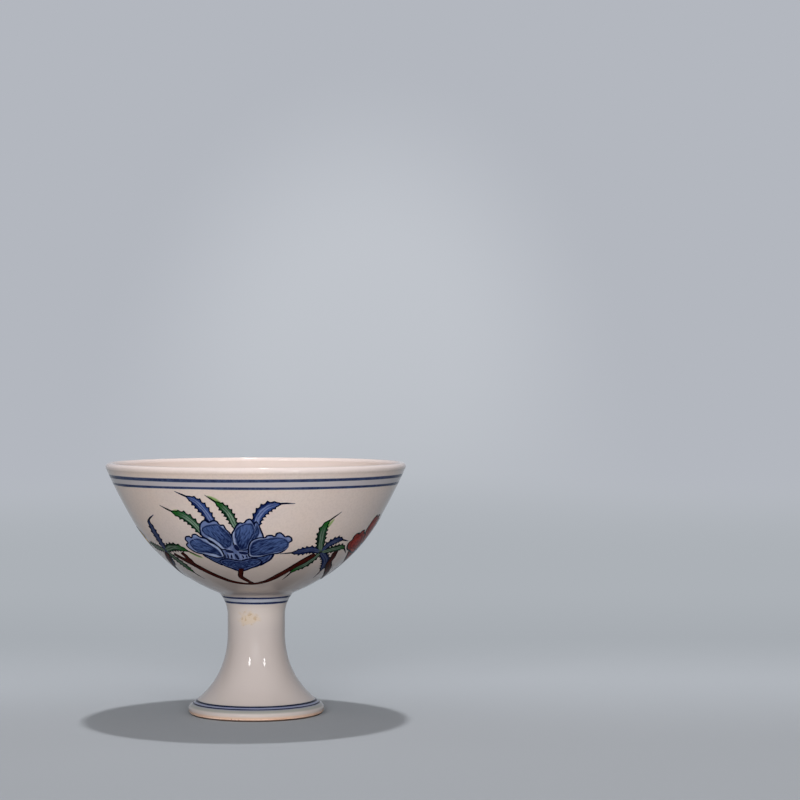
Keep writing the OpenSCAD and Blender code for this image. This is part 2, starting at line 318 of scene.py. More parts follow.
slip_clay, place = new_finish("luting_slip_clay")
lumps = place.cloud(700.0, 4.0, 0.65)
surface(
    place,
    {
        "Base Color": lumps.blend(colour(214, 202, 190), colour(186, 166, 148)),
        "Roughness": lumps * 0.2 + 0.65,
    },
    height=lumps,
    depth=0.0001,
)
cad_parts["luting_slip"].data.materials.clear()
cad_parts["luting_slip"].data.materials.append(slip_clay)


# Outer glaze
# Clear glaze poured over the bowl and stem, warm white with faint pink and buff clouds.
# It wraps over the lip, pools bluish between the painted lines, and stops above the foot ring.

lip_step, glaze_stem_step, glaze_bowl_step = 0.12, 0.55, 0.7
back_lip_step, back_stem_step, back_bowl_step = 0.3, 1.2, 1.6
edge_gap = 0.2
meet = math.degrees(math.acos(half_t / lip_r))
lip_path = arc(lip_c, lip_r, rim_lean + meet, rim_lean - 180 - meet, lip_step)[0]
outer_path = joined(stem_runs(glaze_stem_step) + bowl_runs(glaze_bowl_step))[0]
clay_side = sunk(joined(stem_runs(back_stem_step) + bowl_runs(back_bowl_step)), glaze_t)
clay_side = clay_side[clay_side[:, 1] > glaze_stop + edge_gap]
clay_lip = arc(lip_c, lip_r - glaze_t, rim_lean - 180 - 2 * meet, rim_lean + 2 * meet, back_lip_step)[0]
glaze_loop = np.vstack([
    outer_path[:-1],
    lip_path,
    clay_lip,
    clay_side[:-2][::-1],
    [[foot_d / 2 - glaze_t, glaze_stop]],
])


def glaze_finish(name, tints):
    """Warm glossy porcelain glaze. tints gives masks, from place and height, and the colours they bring."""
    finish, place = new_finish(name)
    level = place.node("ShaderNodeSeparateXYZ", {}, {"Vector": place}, "Z")
    ground = place.cloud(26.0, 4.0).rise(0.3, 0.7).blend(colour(231, 215, 207), colour(233, 211, 196))
    ground = (place.cloud(75.0, 3.0).rise(0.45, 0.8) * 0.5).blend(ground, colour(222, 204, 200))
    for mask, tint in tints(place, level):
        ground = mask.blend(ground, tint)
    surface(
        place,
        {
            "Base Color": ground,
            "Roughness": place.cloud(300.0, 3.0) * 0.04 + 0.045,
            "IOR": 1.5,
        },
        height=place.cloud(260.0, 2.0),
        depth=0.000005,
    )
    return finish


def outer_tints(place, level):
    """Painted shade low on the bowl, over the stem and in the crease, painted light on the upper stem, pale
    cobalt between the lines, pooled glaze, the bare edge and an iron stain.
    """

    def band(start, full, fade, end):
        """1 between two heights, in metres, fading out to either side."""
        return level.rise(start, full) * level.rise(end, fade)

    broken = place.cloud(420.0, 4.0)
    grain = place.cloud(1700.0, 3.0, 0.6).rise(0.42, 0.62)
    # Painted shade low on the bowl, where it faces down.
    painted_low_bowl_shade = level.rise(0.048, 0.036)
    # Painted shade over the whole stem, below the bowl.
    painted_stem_shade = level.rise(0.033, 0.0325)
    # Painted light on the upper stem, under the collar.
    painted_stem_top_light = band(0.022, 0.028, 0.0302, 0.0308)
    collar_wash = band(0.0294, 0.0302, 0.0313, 0.0319)
    # Painted shade in the crease where the bowl meets the stem.
    painted_crease_shade = band(0.0312, 0.0322, 0.0326, 0.0345)
    rim_wash = band(0.0618, 0.0621, 0.0631, 0.0634)
    pool = band(0.0019, 0.0024, 0.0034, 0.0042)
    foot_wash = band(0.0027, 0.0030, 0.0036, 0.0039)
    bare = level.rise(0.0015, 0.0009)
    lip = level.rise(0.0652, 0.0664)
    stain_at, stain_shape = (-0.0018, -0.0075, 0.0263), (1.0, 0.6, 1.35)
    offset = place.node("ShaderNodeVectorMath", {"operation": "SUBTRACT"}, {0: place, 1: stain_at})
    offset = place.node("ShaderNodeVectorMath", {"operation": "MULTIPLY"}, {0: offset, 1: stain_shape})
    away = place.node("ShaderNodeVectorMath", {"operation": "LENGTH"}, {0: offset}, "Value")
    stain = (away + (broken - 0.5) * 0.009).rise(0.0030, 0.0012)
    flecks = stain * place.cloud(1100.0, 2.0).rise(0.52, 0.66)
    return [
        (grain * 0.2, colour(204, 186, 178)),
        (painted_low_bowl_shade * 0.85, colour(184, 172, 166)),
        (painted_stem_shade * 0.85, colour(196, 185, 181)),
        (painted_stem_top_light * 0.5, colour(216, 204, 196)),
        (collar_wash * 0.75, colour(172, 180, 196)),
        (painted_crease_shade * 0.35, colour(150, 136, 128)),
        (rim_wash * 0.85, colour(188, 184, 191)),
        (pool * 0.85, colour(146, 148, 142)),
        (foot_wash * 0.85, colour(126, 132, 166)),
        (bare * 0.7, colour(224, 182, 152)),
        (lip * 0.7, colour(230, 216, 214)),
        (stain * 0.45, colour(212, 186, 148)),
        (flecks * 0.5, colour(176, 144, 108)),
    ]


outer_glaze = turned(
    "glaze_outside", glaze_loop, glaze_finish("outer_glaze_finish", outer_tints)
)
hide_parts("outer_glaze")


# Inner glaze
# The same glaze poured into the bowl and swirled out, so it runs from the lip down to a round floor.
# It is painted darker below the lip as shade inside the bowl, and is darker and pinker again towards the
# floor.

floor_end = upper_c + (upper_r - glaze_t - wall_t) * out(turn_lean)
floor_r = floor_end[0] / math.cos(math.radians(turn_lean))
floor_c = floor_end - floor_r * out(turn_lean)


def well(depth, step):
    """Inside of the bowl from the lip down to the axis, at a depth below the outside."""
    wall = arc(upper_c, upper_r - depth, rim_lean, turn_lean, step)[0]
    floor = arc(floor_c, floor_r - depth + glaze_t + wall_t, turn_lean, 90, step)[0]
    floor[-1][0] = 0.0
    return np.vstack([wall[:-1], floor])


lip_gap = 0.15
below_lip = lip_path[-1][1] - lip_gap
skin = well(2 * half_t, clay_step)
skin = np.vstack([lip_path[-1:], skin[skin[:, 1] < below_lip]])
back = well(glaze_t + wall_t, back_bowl_step)
back = back[back[:, 1] < below_lip][::-1]


def inner_tints(place, level):
    """Painted shade inside the bowl below the lip, and a darker, pinker cast towards the floor."""
    return [
        # Painted shade inside the bowl below the lip; the floor is darker and pinker still.
        (level.rise(0.080, 0.064) * 0.8, colour(207, 191, 185)),
        (level.rise(0.050, 0.036) * 0.5, colour(206, 184, 175)),
    ]


inner_glaze = turned(
    "glaze_inside", np.vstack([skin, back]), glaze_finish("inner_glaze_finish", inner_tints)
)
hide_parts("inner_glaze")


# Cobalt lines
# Double rings of cobalt drawn with a loaded brush while the cup turns: two under the lip,
# two on the collar of the stem and two above the foot edge. They waver and thin out a little.

wall_step = 0.1
wall_points, wall_leans = joined(stem_runs(wall_step) + bowl_runs(wall_step))
wall_v = np.append(0.0, np.cumsum(np.linalg.norm(np.diff(wall_points, axis=0), axis=1)))
wall_v -= wall_v[np.argmin(np.linalg.norm(wall_points - root, axis=1))]


def laid(turn, x, v, lift):
    """Places on the wall, in metres: x round it and v up it from the root of the bowl, in millimetres."""
    radius = np.interp(v, wall_v, wall_points[:, 0])
    lean = np.radians(np.interp(v, wall_v, wall_leans))
    around = np.radians(turn) + x / radius
    radius = radius + lift * np.cos(lean)
    level = np.interp(v, wall_v, wall_points[:, 1]) - lift * np.sin(lean)
    return np.stack([radius * np.sin(around), -radius * np.cos(around), level], -1) / 1000


def patch(places, marks, thickness):
    """A thin sheet of colour over a grid of places, closed below by its own thickness in millimetres."""
    rows, columns = places.shape[:2]
    bpy.ops.object.select_all(action="DESELECT")
    bpy.ops.mesh.primitive_grid_add(x_subdivisions=columns - 1, y_subdivisions=rows - 1, size=0.01)
    sheet = bpy.context.object
    mesh = sheet.data
    mesh.vertices.foreach_set("co", places.astype(np.float32).ravel())
    for name, values in marks.items():
        layer = mesh.attributes.new(name, "FLOAT", "POINT")
        layer.data.foreach_set("value", np.broadcast_to(values, (rows, columns)).astype(np.float32).ravel())
    mesh.update()
    face = mesh.polygons[len(mesh.polygons) // 2]
    centre = face.center
    inward = face.normal.x * centre.x + face.normal.y * centre.y < 0
    bpy.ops.object.mode_set(mode="EDIT")
    bpy.ops.mesh.select_all(action="SELECT")
    if inward:
        bpy.ops.mesh.flip_normals()
    bpy.ops.mesh.remove_doubles(threshold=same_place)
    bpy.ops.object.mode_set(mode="OBJECT")
    shell = sheet.modifiers.new("thickness", "SOLIDIFY")
    shell.thickness = thickness / 1000
    shell.offset = -1
    bpy.ops.object.modifier_apply(modifier=shell.name)
    return sheet


def painted(name, sheets, finish, slot, *nodes):
    """Joins sheets of one colour into one piece."""
    bpy.ops.object.select_all(action="DESELECT")
    for sheet in sheets:
        sheet.select_set(True)
    bpy.context.view_layer.objects.active = sheets[0]
    if len(sheets) > 1:
        bpy.ops.object.join()
    piece = bpy.context.object
    piece.name = piece.data.name = name
    piece.data.materials.clear()
    piece.data.materials.append(finish)
    bpy.ops.object.shade_smooth_by_angle(angle=sharp_angle)
    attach(piece, "root")
    if nodes:
        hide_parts(*nodes)


def wave(angle, draw, parts):
    """A slow wandering between about -1 and 1 that closes on itself round the cup."""
    return sum(
        draw.uniform(0.4, 1.0) / parts * np.sin(angle * turns + draw.uniform(0, 2 * math.pi))
        for turns in (1, 2, 3, 5, 8, 13, 21)[: parts + 2]
    )


line_lift, line_t = 0.014, 0.05
width_waver, height_waver = 0.16, 0.05


def ring(v, width, draw):
    """One brushed line round the cup, centred v up the wall."""
    angle = np.append(np.linspace(0, 2 * math.pi, 480, endpoint=False), 0.0)
    half = width / 2 * (1 + width_waver * wave(angle, draw, 5))
    centre = v + height_waver * wave(angle, draw, 2)
    rows = np.linspace(-1, 1, 7)[:, None]
    level = centre + rows * half
    radius = np.interp(level, wall_v, wall_points[:, 0])
    marks = {"edge": (1 - np.abs(rows)) * half, "load": wave(angle, draw, 5)}
    return patch(laid(0, angle * radius, level, line_lift), marks, line_t)


def v_at(level):
    """How far up the wall from the root a height lies."""
    return float(np.interp(level, wall_points[:, 1], wall_v))


def cobalt_finish(name, soft, thin, full):
    """Cobalt under the glaze: full where the brush was loaded, greyer and thin at the edges."""
    finish, place = new_finish(name)
    edge, load = place.mark("edge"), place.mark("load")
    body = (place.cloud(900.0, 4.0) * 0.7 + load * 0.12 + 0.1).rise(0.2, 0.7).blend(thin, full)
    surface(
        place,
        {
            "Base Color": edge.rise(0.0, soft).blend(colour(124, 132, 158), body),
            "Roughness": place.cloud(300.0, 3.0) * 0.05 + 0.09,
            "Specular IOR Level": 0.05,
        },
    )
    return finish


wall_top, foot_top = wall_v[-1], v_at(edge_top[1])
rim_drops, rim_widths = (2.08, 4.25), (0.95, 0.78)
collar_heights, collar_width = (31.42, 30.05), 0.66
foot_rises, foot_widths = (1.6, 0.58), (0.62, 0.46)
hand = random.Random(11)
painted(
    "rim_lines",
    [ring(wall_top - drop, width, hand) for drop, width in zip(rim_drops, rim_widths)],
    cobalt_finish("rim_line_cobalt", 0.16, colour(70, 83, 119), colour(37, 47, 82)),
    "cobalt_line",
    "rim_bands",
)
painted(
    "collar_lines",
    [ring(v_at(level), collar_width, hand) for level in collar_heights],
    cobalt_finish("collar_line_cobalt", 0.1, colour(50, 60, 96), colour(24, 32, 64)),
    "cobalt_line",
    "collar_bands",
)
painted(
    "foot_lines",
    [ring(foot_top + rise, width, hand) for rise, width in zip(foot_rises, foot_widths)],
    cobalt_finish("foot_line_cobalt", 0.06, colour(27, 34, 60), colour(12, 17, 37)),
    "cobalt_line",
    "foot_bands",
)


# Branches
# Brown branches drawn in one stroke each, swagged under every flower with a short stalk up to it.
# The enamel stands a hair proud, near black at its edges with a red-brown streak along the middle.

spray_turn, side_turn = -8.0, 93
blue_turns = (spray_turn, spray_turn + 180)
red_turn, yellow_turn = spray_turn + side_turn, spray_turn - side_turn
spray_turns = (blue_turns[0], red_turn, blue_turns[1], yellow_turn)
paint_t, paint_shine = 0.06, 0.01


def spline(a, b, c, d, t):
    """Points at t from 0 to 1 along a smooth run from b to c, with a before it and d after it."""
    return 0.5 * (2 * b + (c - a) * t + (2 * a - 5 * b + 4 * c - d) * t**2 + (3 * b - a - 3 * c + d) * t**3)


def curve_through(points, count):
    """Evenly spaced points on a smooth curve through the given ones."""
    points = np.array(points, float)
    ends = np.vstack([2 * points[0] - points[1], points, 2 * points[-1] - points[-2]])
    fine = []
    for a, b, c, d in zip(ends, ends[1:], ends[2:], ends[3:]):
        t = np.linspace(0, 1, 24, endpoint=False)[:, None]
        fine.append(spline(a, b, c, d, t))
    fine = np.vstack(fine + [points[-1:]])
    run = np.append(0, np.cumsum(np.linalg.norm(np.diff(fine, axis=0), axis=1)))
    even = np.linspace(0, run[-1], count)
    return np.column_stack([np.interp(even, run, fine[:, axis]) for axis in (0, 1)])


def gap_to(points, outline):
    """Distance of each point from a closed outline."""
    start, step = outline, np.roll(outline, -1, axis=0) - outline
    flat = points.reshape(-1, 1, 2)
    share = ((flat - start) * step).sum(-1) / np.maximum((step**2).sum(-1), 1e-12)
    near = start + np.clip(share, 0, 1)[..., None] * step
    return np.linalg.norm(flat - near, axis=-1).min(1).reshape(points.shape[:-1])


def crowned(edge, reach, lift, crown):
    """How far colour stands off the wall: lift at its edge, and crown more from reach inwards."""
    share = np.clip(edge / reach, 0, 1)
    return lift + crown * share * share * (3 - 2 * share)


def stroke(turn, points, left, right, lift, crown, tone, columns):
    """A brush stroke along points. left and right give its half widths, in millimetres, from end to end."""
    middle = curve_through(points, len(left))
    heading = np.gradient(middle, axis=0)
    heading /= np.linalg.norm(heading, axis=1)[:, None]
    side = np.column_stack([heading[:, 1], -heading[:, 0]])
    across = np.linspace(-1, 1, columns)[:, None]
    spread = across * np.where(across < 0, left, right)
    plane = middle + spread[..., None] * side
    edge = gap_to(plane, np.vstack([plane[0], plane[-1][::-1]]))
    places = laid(turn, plane[..., 0], plane[..., 1], crowned(edge, reach=0.3, lift=lift, crown=crown))
    marks = {"edge": edge, "along": np.linspace(0, 1, len(left)), "across": spread, "tone": tone}
    return patch(places, marks, paint_t)


def branch(turn, points, widths, draw):
    """A branch whose width goes through widths along it, with a little unevenness of the hand."""
    share = np.linspace(0, 1, 80)
    half = np.interp(share, np.linspace(0, 1, len(widths)), widths) / 2
    uneven = [1 + 0.1 * np.sin(share * draw.uniform(14, 22) + draw.uniform(0, 6)) for _ in range(2)]
    left, right = half * uneven[0], half * uneven[1]
    return stroke(turn, points, left, right, lift=0.016, crown=0.05, tone=draw.random(), columns=9)


def brushed(place, wide, long, detail=4.0, roughness=0.55):
    """Streaks that run along a stroke or petal, different in each."""
    lie = {"X": place.mark("across") * wide, "Y": place.mark("along") * long, "Z": place.mark("tone") * 9.0}
    return place.node("ShaderNodeCombineXYZ", {}, lie).cloud(1.0, detail, roughness)


branch_enamel, place = new_finish("branch_brown")
fibre = brushed(place, 3.0, 14.0)
core = fibre.rise(0.35, 0.65).blend(colour(38, 11, 9), colour(76, 26, 19))
surface(
    place,
    {
        "Base Color": place.mark("edge").rise(0.1, 0.4).blend(colour(20, 7, 8), core),
        "Roughness": fibre * 0.15 + 0.12,
        "Specular IOR Level": paint_shine,
    },
    height=fibre,
    depth=0.00001,
)

hand = random.Random(23)
swag = [(-19.2, 20.2), (-15.6, 18.1), (-12.7, 16.2), (-9.3, 13.7), (-5.8, 11.1), (-2.4, 8.8), (1.7, 7.8),
        (5.7, 8.9), (10.6, 12.5), (15.6, 16.5), (21.5, 20.4)]
swag_widths = (1.1, 1.4, 1.9, 1.5, 1.2, 1.1, 1.2, 1.5, 1.6, 1.7, 1.3)
fork = [(-15.8, 21.0), (-14.0, 18.4), (-12.4, 16.0)]
fork_widths = (1.3, 1.6, 1.5)
one_stroke, one_stroke_widths = fork[:2] + swag[2:], (1.7, 2.0, 2.0) + swag_widths[3:]
stalk = [(1.0, 15.6), (0.1, 12.4), (0.8, 10.4), (2.6, 8.2)]
stalk_widths = (1.7, 1.4, 1.4, 1.1)
sheets = []
for turn in spray_turns:
    if turn in blue_turns:
        sheets.append(branch(turn, swag, swag_widths, hand))
        sheets.append(branch(turn, fork, fork_widths, hand))
    else:
        sheets.append(branch(turn, one_stroke, one_stroke_widths, hand))
    sheets.append(branch(turn, stalk, stalk_widths, hand))
painted("painted_branches", sheets, branch_enamel, "brown_enamel", "branches")


# Leaves
# Long saw-edged leaves, drawn in cobalt under the glaze with a dark outline and pale ribs.
# They stand above the front and back flowers and in stars between them all, and end in a hair-thin tip.

teeth, tooth_out, hair_from = 8, 0.54, 0.8
leaf_lift, leaf_crown = 0.006, 0.008


def leaf(turn, points, width, deep, draw):
    """A saw-edged leaf along points, whose last stretch is the hair tip. deep is 1 for a darker leaf."""
    share = np.linspace(0, 1, teeth * 16 + 1)
    t = np.clip(share / hair_from, 0, 1)
    body = np.interp(t, (0, 0.25, 0.5, 0.7, 0.86, 1), (0.6, 0.86, 1.0, 0.9, 0.52, 0.0))
    hair = np.interp(share, (0, 0.2, 0.6, 0.85, 1), (0.0, 0.1, 0.32, 0.25, 0.09))
    toothed = np.interp(t, (0.05, 0.2, 0.75, 0.9), (0, 1, 1, 0))
    sides = []
    for offset in (0.0, 0.5):
        tooth = (t * teeth + offset + draw.uniform(-0.15, 0.15)) % 1.0
        thorn = np.interp(tooth, (0, 0.25, 0.75, 0.95, 1), (0, 0, 1, 0, 0)) * toothed
        sides.append(np.maximum(width / 2 * body * 0.68 + tooth_out * thorn, hair))
    tone = deep + 0.9 * draw.random()
    return stroke(turn, points, *sides, leaf_lift, leaf_crown, tone, columns=11)


def ribs(across, streak):
    """1 on the two pale ribs that run up a leaf, left and right of its middle."""
    return abs(abs(across + streak * 0.9 - 0.45) - 0.3).rise(0.36, 0.02)


def blue_leaf_finish(name):
    """Cobalt leaf: dark outline, streaked body and paler ribs towards the foot of the leaf."""
    finish, place = new_finish(name)
    edge, along, across = place.mark("edge"), place.mark("along"), place.mark("across")
    streak = brushed(place, 2.6, 7.0)
    body = (streak + across * 0.12).rise(0.32, 0.68).blend(colour(22, 37, 88), colour(56, 78, 138))
    rib = ribs(across, streak) * along.rise(0.78, 0.45)
    body = (rib * 0.7).blend(body, colour(140, 156, 200))
    body = (place.mark("tone").rise(0.94, 0.96) * 0.66).blend(body, colour(10, 20, 56))
    line = along.rise(0.84, 1.0).blend(colour(8, 13, 36), colour(72, 74, 102))
    surface(
        place,
        {
            "Base Color": (edge + streak * 0.14).rise(0.36, 0.52).blend(line, body),
            "Roughness": streak * 0.05 + 0.09,
            "Specular IOR Level": paint_shine,
        },
    )
    return finish


flower_blue_leaves = [
    ([(-4.2, 30.4), (-6.6, 35.0), (-9.5, 38.0), (-14.5, 40.3)], 4.1),
    ([(6.3, 29.4), (7.4, 33.2), (10, 35.9), (13.5, 36.9), (17.2, 36.9)], 4.1),
]
flower_green_leaves = [
    ([(-7.2, 26.8), (-9.5, 30.3), (-12.2, 32.8), (-16, 34.2), (-20.2, 36)], 3.7),
    ([(1.5, 29.4), (0, 33.7), (-2, 36.4), (-5.9, 39.4)], 3.5),
]
right_star_turns, left_star_turns = (46.5, 226), (-48.7, 137)
right_star_blue = [
    ([(0.8, 21.3), (-2.6, 22.1), (-4.7, 21.8), (-6.8, 21.4), (-10.8, 21)], 3.6),
    ([(0.9, 21.2), (2.5, 23.8), (5.3, 25.1), (9.6, 24.4)], 3.5),
    ([(1.0, 21.0), (4.5, 17.8), (5.8, 13.4), (5.5, 9.5)], 3.7),
]
right_star_green = [
    ([(0.8, 20.9), (-0.6, 24.4), (-1.6, 28.2), (-1.0, 31.0), (2.4, 34.0)], 3.9),
    ([(1.0, 21.0), (4.6, 21.8), (8.6, 22.2), (12.2, 19.8)], 3.4),
    ([(1.0, 20.8), (-1.4, 16.8), (-3.8, 14.3), (-4.8, 9.8)], 3.6),
]
left_star_blue = [
    ([(0.7, 20.6), (1.5, 24.8), (1.8, 28.9), (2.4, 31.2), (5.8, 33.0)], 4.0),
    ([(0.9, 21.4), (-1.4, 17.4), (-4.3, 12.8)], 3.6),
]
left_star_green = [
    ([(0.6, 21.2), (-3.6, 22.1), (-6.8, 22.9), (-10.5, 22.6)], 3.5),
    ([(0.8, 21.2), (5.0, 22.6), (8.8, 22.4), (13.2, 19.6)], 3.9),
    ([(0.9, 21.0), (3.2, 16.6), (3.9, 13.5), (5.0, 9.6)], 3.7),
]


def all_leaves(by_flower, by_right_star, by_left_star):
    """Every leaf of one colour: its turn, its points, its width and how dark it is."""
    for turn in blue_turns:
        for points, width in by_flower:
            yield turn, points, width, 0
    for turn in right_star_turns:
        for points, width in by_right_star:
            yield spray_turn + turn, points, width, 1
    for turn in left_star_turns:
        for points, width in by_left_star:
            yield spray_turn + turn, points, width, 1


hand = random.Random(31)
painted(
    "painted_blue_leaves",
    [leaf(*what, hand) for what in all_leaves(flower_blue_leaves, right_star_blue, left_star_blue)],
    blue_leaf_finish("blue_leaf_cobalt"),
    "blue_colour",
    "blue_leaves",
)


# Green leaves
# The same leaves outlined in cobalt, then filled over the glaze with a glassy green enamel.
# The fill is dark at the foot of the leaf and bright at the tip, where a thin wash runs past the line.

def green_leaf_finish(name):
    """Green leaf: blue-black outline, green fill that pales along its ribs and brightens to the tip."""
    finish, place = new_finish(name)
    edge, along, across = place.mark("edge"), place.mark("along"), place.mark("across")
    streak = brushed(place, 2.2, 6.0)
    body = (streak + across * 0.12).rise(0.3, 0.7).blend(colour(15, 47, 32), colour(48, 90, 62))
    body = (along.rise(0.45, 0.75) * 0.8).blend(body, colour(38, 108, 32))
    rib = ribs(across, streak) * along.rise(0.66, 0.36)
    body = (rib * 0.75).blend(body, colour(146, 172, 150))
    shade = place.mark("tone").rise(0.94, 0.96) * along.rise(0.6, 0.4)
    body = (shade * 0.36).blend(body, colour(30, 38, 30))
    line = along.rise(0.84, 1.0).blend(colour(6, 12, 14), colour(78, 78, 88))
    surface(
        place,
        {
            "Base Color": (edge + streak * 0.14).rise(0.34, 0.48).blend(line, body),
            "Roughness": streak * 0.06 + 0.08,
            "Specular IOR Level": paint_shine,
        },
    )
    return finish


painted(
    "painted_green_leaves",
    [leaf(*what, hand) for what in all_leaves(flower_green_leaves, right_star_green, left_star_green)],
    green_leaf_finish("green_leaf_enamel"),
    "green_enamel",
    "green_leaves",
)

wash_enamel, place = new_finish("green_wash_enamel")
thin = place.cloud(800.0, 3.0)
surface(
    place,
    {
        "Base Color": (place.mark("edge") + thin * 0.3 - 0.12).rise(0.0, 0.5).blend(
            colour(216, 206, 180), thin.blend(colour(156, 182, 108), colour(100, 144, 70))
        ),
        "Roughness": thin * 0.06 + 0.08,
        "IOR": 1.5,
    },
)
tip_washes = [[(-5.4, 39.2), (-3.2, 38.0), (-1.0, 36.2)], [(-16.2, 34.4), (-14.6, 34.4), (-13.0, 33.8)]]
right_star_wash = [(-0.9, 28.2), (-0.3, 30.2), (0.8, 32.0)]
left_star_wash = [(10.2, 21.2), (11.6, 20.3), (13.4, 19.1)]
washes = [(turn, points) for turn in blue_turns for points in tip_washes]
washes += [(spray_turn + turn, right_star_wash) for turn in right_star_turns]
washes += [(spray_turn + turn, left_star_wash) for turn in left_star_turns]
wash_half = 0.62 * np.sin(np.linspace(0.05, 0.95, 30) * math.pi) ** 0.6
wash_lift = 0.004
painted(
    "green_washes",
    [
        stroke(turn, points, wash_half, wash_half, wash_lift, crown=0.0, tone=hand.random(), columns=7)
        for turn, points in washes
    ],
    wash_enamel,
    "green_enamel",
)


# Flowers
# Large open flowers, front and back in cobalt blue, right in iron red and left in yellow enamel.
# Lobed petals and a calyx are outlined, washed and filled with strokes round a veined, dashed heart.

flower_foot = np.array([0.8, 19.0])
petal_rings = np.array([0, 0.3, 0.5, 0.64, 0.75, 0.83, 0.89, 0.935, 0.97, 1.0])[:, None, None]
petal_brush = {"detail": 5.0, "roughness": 0.62}


def petal(turn, points, draw, lift, crown=0.0):
    """A petal inside a smooth closed curve through points."""
    points = np.array(points, float)
    near = [np.roll(points, shift, axis=0)[:, None] for shift in (1, 0, -1, -2)]
    outline = spline(*near, np.linspace(0, 1, 8, endpoint=False)[None, :, None]).reshape(-1, 2)
    middle = outline.mean(axis=0)
    loop = np.vstack([outline, outline[:1]])
    plane = middle + petal_rings * (loop - middle)
    edge = gap_to(plane, outline)
    tip = outline[np.argmax(np.linalg.norm(outline - flower_foot, axis=1))]
    reach = np.linalg.norm(tip - flower_foot)
    heading = (tip - flower_foot) / reach
    along = ((plane - flower_foot) @ heading) / reach
    across = (plane - flower_foot) @ np.array([heading[1], -heading[0]])
    places = laid(turn, plane[..., 0], plane[..., 1], crowned(edge, reach=0.5, lift=lift, crown=crown))
    return patch(places, {"edge": edge, "along": along, "across": across, "tone": draw.random()}, paint_t)


def wash_finish(name, line, pale, deep):
    """Outlined petal: a dark line that softens into an uneven wash, deeper at the lobes."""
    finish, place = new_finish(name)
    lobes = place.mark("along").rise(0.5, 0.9)
    wash = (place.cloud(420.0, 3.0) + lobes * 0.3 - 0.1).rise(0.35, 0.65).blend(pale, deep)
    within = place.mark("edge") + place.cloud(700.0, 3.0) * 0.2 - 0.1
    surface(
        place,
        {
            "Base Color": within.rise(0.34, 0.58).blend(line, wash),
            "Roughness": place.cloud(300.0, 3.0) * 0.06 + 0.08,
            "Specular IOR Level": paint_shine,
        },
    )
    return finish


def body_finish(name, side, dark, light):
    """Strokes that fill a petal from its foot up, softer at their side and lighter to the tip."""
    finish, place = new_finish(name)
    streak = brushed(place, 2.5, 7.5, **petal_brush)
    body = (streak + place.mark("along").rise(0.4, 1.0) * 0.12 - 0.04).rise(0.34, 0.66).blend(dark, light)
    within = place.mark("edge") + place.cloud(900.0, 4.0) * 0.9 - 0.45
    surface(
        place,
        {
            "Base Color": within.rise(-0.1, 0.4).blend(side, within.rise(0.3, 0.7).blend(dark, body)),
            "Roughness": streak * 0.06 + 0.08,
            "Specular IOR Level": paint_shine,
        },
    )
    return finish


upper_left = [
    (-3, 22.4), (-5.5, 24.9), (-7, 26), (-8.3, 27.1), (-8.6, 28.6), (-8.4, 30.5), (-7.5, 31.8),
    (-6.4, 32.1), (-5.7, 31.6), (-4.5, 32.1), (-3.3, 31.8), (-2.7, 30.8), (-1.7, 30.7), (-1.1, 29.3),
    (-0.3, 28.3), (0, 26.9), (-0.1, 25.2), (-0.9, 23.7),
]
upper_right = [
    (1, 22.5), (0.1, 23.9), (-0.3, 25.9), (-0.1, 27.9), (0.6, 29.2), (1.3, 30.5), (2.4, 31.5),
    (3.4, 31.4), (4.2, 32.3), (5.3, 32.6), (6, 31.6), (6.3, 30.3), (6.2, 28.4), (5.3, 26.5),
    (4.2, 24.6), (3.5, 22.5),
]
back_petal = [
    (3, 22.8), (4.3, 26), (5.5, 28.8), (5.9, 31), (6.8, 31.8), (7.5, 30.2), (7.9, 28.7), (8.2, 27.1),
    (7.8, 26), (5.7, 24.8),
]
left_petal = [
    (-2.8, 20), (-4.8, 19.3), (-6.8, 19.8), (-8.7, 20.5), (-10.7, 21), (-12.3, 22), (-13.5, 23.3),
    (-13.5, 24.2), (-13, 24.7), (-13.6, 25.6), (-13.2, 26.7), (-11.9, 27), (-11.4, 26.6), (-11, 27.5),
    (-9.8, 27.7), (-8.7, 26.9), (-7, 26.4), (-5.9, 25.2), (-4.5, 24.4), (-3.2, 22.6),
]
right_petal = [
    (3.5, 20), (3.5, 22.7), (4.1, 24.9), (5.1, 26.1), (6.8, 26.8), (8.3, 26.9), (9, 27.5), (10.3, 27.6),
    (10.9, 27.2), (11.4, 28.1), (12.5, 28.4), (13.3, 27.7), (13.7, 27.1), (14.5, 27.3), (15.4, 26.6),
    (15.4, 25.4), (14.5, 24.7), (14.1, 23.4), (12.9, 22), (11.4, 21.1), (9, 20.7), (6.3, 19.8),
]
low_left = [(-2.9, 20.2), (-3.7, 16.6), (-5.5, 17.4), (-7.2, 18.7), (-9, 20.6), (-6.2, 21.2)]
low_right = [(4.1, 20.2), (6.9, 21.4), (10, 21.2), (9.3, 19.2), (7.8, 17.8), (5.4, 16.5)]
calyx = [
    (-4.4, 18.6), (-4.4, 17.4), (-3.5, 16.2), (-1.9, 15.2), (-0.7, 14.4), (0.6, 14), (2.1, 14.5),
    (3.5, 15.4), (5.3, 16.2), (6.7, 17.8), (6, 19.3), (4.2, 19.6), (2.5, 19.3), (1.1, 18.7),
    (-0.8, 19.1), (-2.7, 19.5),
]
open_heart = [
    (-3.2, 18.4), (-3.4, 21.5), (-2.2, 24.5), (-0.4, 26.5), (0.4, 26.8), (4, 25.5), (5, 23.5),
    (4.6, 20.5), (4.4, 18.6), (0.8, 17.6),
]
upper_left_fill = [
    (-2.5, 23.2), (-3.8, 25), (-5.3, 26.3), (-7, 27.5), (-7.7, 28.9), (-7, 30), (-5.3, 30.6),
    (-3.5, 30.7), (-2.2, 29.7), (-1.1, 28.4), (-0.4, 26.8), (-0.3, 25.1), (-1, 23.8),
]
